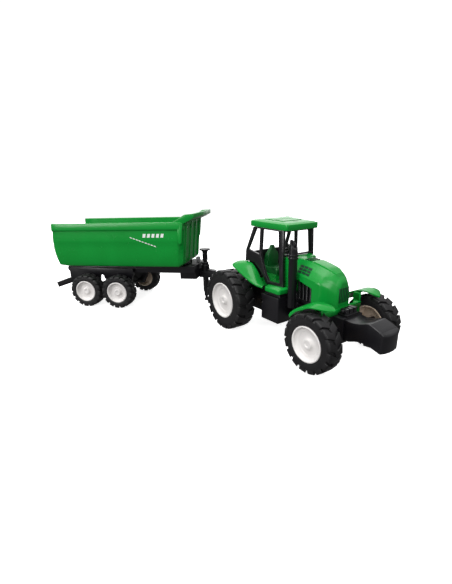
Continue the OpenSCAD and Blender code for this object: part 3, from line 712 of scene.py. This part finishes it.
# angle and y of the outer edge
FENDER_EDGE = [
    (-57, 48.6), (-52, 50), (-12, 50.2), (-4, 49.6), (3, 48.2), (9, 46), (14, 43.4), (19, 39.6),
    (22, 36.6), (23.5, 34.4),
]
for side, word in ((1, "left"), (-1, "right")):
    bm = bmesh.new()
    rings = []
    for k in range(ARC_STEPS + 1):
        ang = ARC_BACK + ARC_LENGTH * k / ARC_STEPS
        # ahead of the top both edges run together to a leaf's tip, and behind it there is a lip
        out_y = value_at(FENDER_EDGE, ang)
        in_y = FENDER_IN + 3.2 * max(0, (ang - 12) / 11.5) ** 2
        leaf = 1.7 * sin(pi * min(1, max(0, (ang + 24) / 47)))
        lip = min(1, max(0, (-4 - ang) / 14))
        ring = []
        for i in range(FRONT_FENDER_STEPS + 1):
            share = i / FRONT_FENDER_STEPS
            y = in_y + (out_y - in_y) * share
            crown = leaf * (1 - abs(2 * share - 1.15))
            ring.append((y, FRONT_FENDER_RADIUS - 1.2 * share ** 1.5 + crown))
        y, rad = ring[-1]
        ring += [(y + 0.5 * lip, rad - 0.5 - 0.3 * lip), (y + 0.6 * lip, rad - 0.9 - 1.9 * lip)]
        a = radians(ang)
        rings.append([
            (WHEELBASE + rad * sin(a), side * y, FRONT_RADIUS + rad * cos(a)) for y, rad in ring
        ])
    grid(bm, rings, loop=False)
    thicken(bm, FRONT_FENDER_WALL)
    piece(f"v_front_fender_{word}", bm, TRACTOR, GREEN, f"front_fender_{word}", 50)

# ---------------------------------------------------------------- tractor: steering wheel
STEERING_CENTRE = (55.5, 0, 99.5)
STEERING_TILT = -38
RING_RADIUS, RING_THICK = 6.6, 1.1
bm = bmesh.new()
turned(bm, [
    (RING_RADIUS + RING_THICK * cos(tau * k / 12), RING_THICK * sin(tau * k / 12))
    for k in range(13)
], count=48)
# boss and column
turned(bm, [(0, 1.1), (1.2, 1.1), (1.9, 0.6), (2.0, -0.8), (1.3, -1.6), (1.3, -23), (0, -23)],
       count=32)
for a in (0, 120, 240):
    spoke = bmesh.new()
    box(spoke, (1.2, -0.8, -0.55), (6.3, 0.8, 0.55))
    rounded(spoke, 0.25)
    spoke.transform(Matrix.Rotation(radians(a), 4, "Z"))
    absorb(bm, spoke)
tilt = Matrix.Rotation(radians(STEERING_TILT), 4, "Y")
place = TRACTOR @ Matrix.Translation(STEERING_CENTRE) @ tilt
piece("v_steering_wheel", bm, place, BLACK, "steering_wheel", 40)

# ---------------------------------------------------------------- trailer: tub
SIDE_W, TUB_FLOOR = 42.5, 57.0
TUB_WALL = 2.0
# height and x of the rear wall
REAR_X = [(57, -93), (70, -95.6), (84, -97.4), (100, -95.6), (112, -93.8), (120, -93)]


def front_x(z):
    """X of the front wall, which leans ahead."""
    return 97.5 + (z - 60) * 0.12


def rear_x(z):
    """X of the rear wall, which bulges."""
    return value_at(REAR_X, z)


def tub_half(inset, low):
    """Half section (y, z) from mid-floor to the rim: sides drawn in, the floor raised by low."""
    lower = [(0, 0), (12, 0), (27, 0), (36, 1.2), (37.6, 2.2), (38.3, 3.4), (39.7, 10), (40.7, 18),
             (41.2, 27)]
    pts = [(y - inset * (0.2 + 0.03 * z), TUB_FLOOR + z + low * (1 - z / 30)) for y, z in lower]
    pts += [(SIDE_W - 0.75 - inset, 91.6), (SIDE_W - 0.25 - inset, 93.6), (SIDE_W - inset, 96)]
    return pts + [(SIDE_W - inset, z) for z in (101, 109, 119.3)]


def tub_ring(x_of_z, shift, inset=0.0, low=0.0):
    """The tub's section at the x that a wall has at each height, moved by shift."""
    ring = [(x_of_z(z) + shift, y, z) for y, z in tub_half(inset, low)]
    return [(x, -y, z) for x, y, z in reversed(ring[1:])] + ring


def side_slab(bm, outline, side, near, far):
    """A slab on one side of the middle plane."""
    y0, y1 = sorted((side * near, side * far))
    slab(bm, outline, y0, y1)


# the rounded rear end, the straight sides and the front's rounded edge
bm = bmesh.new()
rings = [
    *[tub_ring(rear_x, *edge) for edge in (
        (0, 1.5, 1.2), (4.5, 1.0, 0.7), (8.5, 0.15, 0.1), (9.5, 0, 0),
    )],
    *[tub_ring(lambda z: 0, x) for x in (-80, -60, -40, -20, 0, 20, 40, 60, 78)],
    *[tub_ring(front_x, *edge) for edge in (
        (-9, 0, 0), (-6.6, 0.1, 0.1), (-5.9, 0.45, 0.4), (-1.0, 4.6, 3.6), (-0.25, 5.4, 4.3),
        (0, 6.4, 5.2),
    )],
]
rows = grid(bm, rings, loop=False)
bm.faces.new(rows[-1])
thicken(bm, TUB_WALL, up=False)
# rolled rim along both sides
rim = [(40.6, 109.6), (42.4, 109.2), (42.9, 109.4), (43.9, 110.3), (44.35, 111.1), (44.45, 112),
       (44.4, 118.6), (44.1, 119.5), (43.3, 120), (41.6, 120), (40.8, 119.6), (40.5, 118.9)]
rims = bmesh.new()
for side in (1, -1):
    loft(rims, [
        [(rear_x(z) - 0.2, side * (y - 1.2), z) for y, z in rim],
        [(rear_x(z) + 0.5, side * (y - 0.9), z) for y, z in rim],
        [(rear_x(z) + 8.8, side * y, z) for y, z in rim],
        *[[(x, side * y, z) for y, z in rim] for x in (-40, 20, 80)],
        [(front_x(z) - 5.5, side * y, z) for y, z in rim],
        [(front_x(z) - 0.4, side * (y - 3.6), z) for y, z in rim],
    ])
# ribs up the front wall
fittings = bmesh.new()
for y in (-30, -10, 10, 30):
    slab(fittings, [(front_x(63) - 1, 63), (front_x(63) + 1.2, 64), (front_x(119) + 1.7, 119),
                    (front_x(119) - 1, 119.5)], y - 1.7, y + 1.7)
CORNER_FLANGE = [(95.6, 93.5), (97.5, 90.5), (100.4, 92), (103.6, 119), (95.6, 119)]
GUARD_GUSSET = [(88, 118.5), (88.4, 119.4), (106, 129.6), (119, 130.5), (119, 125.2),
                (front_x(119), 118)]
HINGE_LUG = [(-90.2, 58), (-90.2, 51.7), (-89, 48.8), (-86, 47.6), (-83, 48.8), (-81.8, 51.7),
             (-81.8, 58)]
for side in (1, -1):
    side_slab(fittings, CORNER_FLANGE, side, 41.8, 44.3)
    side_slab(fittings, GUARD_GUSSET, side, 40.1, 42.3)
    side_slab(fittings, HINGE_LUG, side, 14, 19.5)
# spill guard over the front wall, and the band under it
slab(fittings, [(front_x(119) - 2.2, 118), (front_x(119), 118), (112, 121.4), (119, 125.2),
                (119.2, 130.3), (116.6, 130.5)], -40.8, 40.8)
slab(fittings, [(front_x(114) - 1.5, 114), (front_x(114) + 1.0, 115), (front_x(120) + 1.2, 120),
                (front_x(120) - 1.5, 120)], -38, 38)
rounded(fittings, 0.55)
absorb(bm, rims)
absorb(bm, fittings)
piece("v_tub", bm, TUB_FRAME, GREEN, "tub", 28)

# printed marks: a row of slanted bars and a falling row of dashes
PRINT_NEAR, PRINT_FAR = SIDE_W + 0.02, SIDE_W + 0.2
bm = bmesh.new()
for side in (1, -1):
    for x in (44.5, 51, 57.5, 64, 70.5):
        bar = [(x, 100), (x + 4, 100), (x + 5.4, 105), (x + 1.4, 105)]
        side_slab(bm, bar, side, PRINT_NEAR, PRINT_FAR)
    for i in range(9):
        x, z = 26 + i * 4.2, 99.8 - i * 1.45
        dash = [(x, z), (x + 2.9, z - 1.1), (x + 3.0, z + 0.1), (x + 0.1, z + 1.2)]
        side_slab(bm, dash, side, PRINT_NEAR, PRINT_FAR)
piece("v_tub_decals", bm, TUB_FRAME, DECAL, "tub_decals", 30)

# jack: a leg that is stouter above its sleeve, with a handle plate and a foot
JACK_X = 117.5
jack_place = Matrix.Translation((JACK_X, 0, 0))
bm = bmesh.new()
turned(bm, [(0, 2.6), (2.9, 2.6), (3.3, 3), (3.3, 4.7), (3, 5), (1.9, 5.1), (1.9, 9.4), (2.7, 9.6),
            (3, 10), (3, 63.4), (3.6, 63.7), (3.8, 64.1), (3.8, 75.8), (5, 77.2), (5, 78.4),
            (7.6, 78.5), (7.8, 79), (7.8, 80), (7.4, 80.5), (3, 80.3), (0, 80.3)], jack_place, 48)
piece("v_jack_leg", bm, TRAILER, BLACK, "jack_leg", 35)

# collar and guide tube round the leg, and the gusset behind them
bm = bmesh.new()
for bore, outer, low, high in ((3.15, 4.8, 52, 61), (4.4, 6, 46.5, 57), (3.15, 4.2, 16.4, 39.5)):
    turned(bm, [(bore, low), (outer - 0.4, low), (outer, low + 0.4), (outer, high - 0.4),
                (outer - 0.4, high), (bore, high), (bore, low)], jack_place, 48)
piece("v_drawbar_collar", bm, TRAILER, BLACK, "drawbar", 35)
bm = bmesh.new()
slab(bm, [(107.5, 46.5), (114.1, 46.5), (114.1, 55), (112.6, 52.5), (107.5, 50.6)], -3.6, 3.6)
slab(bm, [(121, 47.5), (134, 47.9), (134, 48.6), (121, 50.6)], -4.6, 4.6)
rounded(bm, 0.6)
piece("v_drawbar_gusset", bm, TRAILER, BLACK, "drawbar", 30)

# ---------------------------------------------------------------- stage, camera, light
FLOOR_RADIUS = 1.5
floor_mat = moulded(
    "floor", (0.86, 0.86, 0.86), (0.88, 0.88, 0.88), (0.6, 0.7), 200, 0.02,
    Emission_Color=(1, 1, 1, 1), Emission_Strength=0.8)
bm = bmesh.new()
bmesh.ops.create_circle(bm, cap_ends=True, radius=FLOOR_RADIUS, segments=96)
floor_mesh = bpy.data.meshes.new("floor")
bm.to_mesh(floor_mesh)
bm.free()
floor_mesh.materials.append(floor_mat)
floor = bpy.data.objects.new("floor", floor_mesh)
scene.collection.objects.link(floor)
# the toy neither mirrors the floor nor is lit by it
floor.visible_glossy = False
floor.visible_diffuse = False

# the camera stands ahead of the tractor, on its right side
AZIMUTH, PITCH, ROLL = radians(54.55), radians(17.35), radians(0.86)
CAMERA_MM = (336.75, -275.74, 169.82)
forward = Vector((-sin(AZIMUTH) * cos(PITCH), cos(AZIMUTH) * cos(PITCH), -sin(PITCH)))
level = Vector((cos(AZIMUTH), sin(AZIMUTH), 0))
upright = level.cross(forward)
right = level * cos(ROLL) - upright * sin(ROLL)
up = right.cross(forward)
camera_data = bpy.data.cameras.new("camera")
camera_data.lens = 21.76
camera_data.shift_x = -0.0144
camera_data.shift_y = 0.0031
camera_data.clip_start = 0.01
camera_data.clip_end = 50
camera = bpy.data.objects.new("camera", camera_data)
scene.collection.objects.link(camera)
turn = Matrix((right, up, -forward)).transposed().to_4x4()
camera.matrix_world = Matrix.Translation(TRACTOR @ Vector(CAMERA_MM)) @ turn
scene.camera = camera

SKY_STRENGTH = 0.85
BACKDROP_STRENGTH = 1.05
# white behind the toy, and a studio that is bright overhead and dimmer round the sides
world = bpy.data.worlds.new("world")
world.use_nodes = True
tree = world.node_tree
studio = tree.nodes["Background"]
place = tree.nodes.new("ShaderNodeTexCoord")
height = tree.nodes.new("ShaderNodeSeparateXYZ")
tree.links.new(place.outputs["Generated"], height.inputs["Vector"])
sky = ramp(tree, height.outputs["Z"], [(0.0, (0.2, 0.2, 0.2)), (0.7, (1, 1, 1))])
tree.links.new(sky, studio.inputs["Color"])
studio.inputs["Strength"].default_value = SKY_STRENGTH
backdrop = tree.nodes.new("ShaderNodeBackground")
backdrop.inputs["Color"].default_value = (1, 1, 1, 1)
backdrop.inputs["Strength"].default_value = BACKDROP_STRENGTH
seen = tree.nodes.new("ShaderNodeLightPath")
mix = tree.nodes.new("ShaderNodeMixShader")
tree.links.new(seen.outputs["Is Camera Ray"], mix.inputs["Fac"])
tree.links.new(studio.outputs["Background"], mix.inputs[1])
tree.links.new(backdrop.outputs["Background"], mix.inputs[2])
tree.links.new(mix.outputs["Shader"], tree.nodes["World Output"].inputs["Surface"])
scene.world = world
scene.view_settings.view_transform = "Standard"


def area_light(name, place, target, size, energy):
    """A round lamp, unseen by the camera, turned to the target; metres and watts."""
    data = bpy.data.lights.new(name, "AREA")
    data.shape = "DISK"
    data.size = size
    data.energy = energy
    light = bpy.data.objects.new(name, data)
    light.visible_camera = False
    scene.collection.objects.link(light)
    light.location = place
    light.rotation_mode = "QUATERNION"
    light.rotation_quaternion = (Vector(target) - Vector(place)).to_track_quat("-Z", "Y")


area_light("top", (0.1, -0.3, 1.5), (0, 0, 0.05), size=1.2, energy=13)
area_light("front_right", (1.3, -0.9, 0.8), (0, 0, 0.06), size=0.7, energy=6)
area_light("side_fill", (0.0, -1.6, 0.55), (0, 0, 0.06), size=0.8, energy=12)
area_light("backdrop", (-1.2, 0.9, 0.75), (0, 0, 0.1), size=2.0, energy=12)
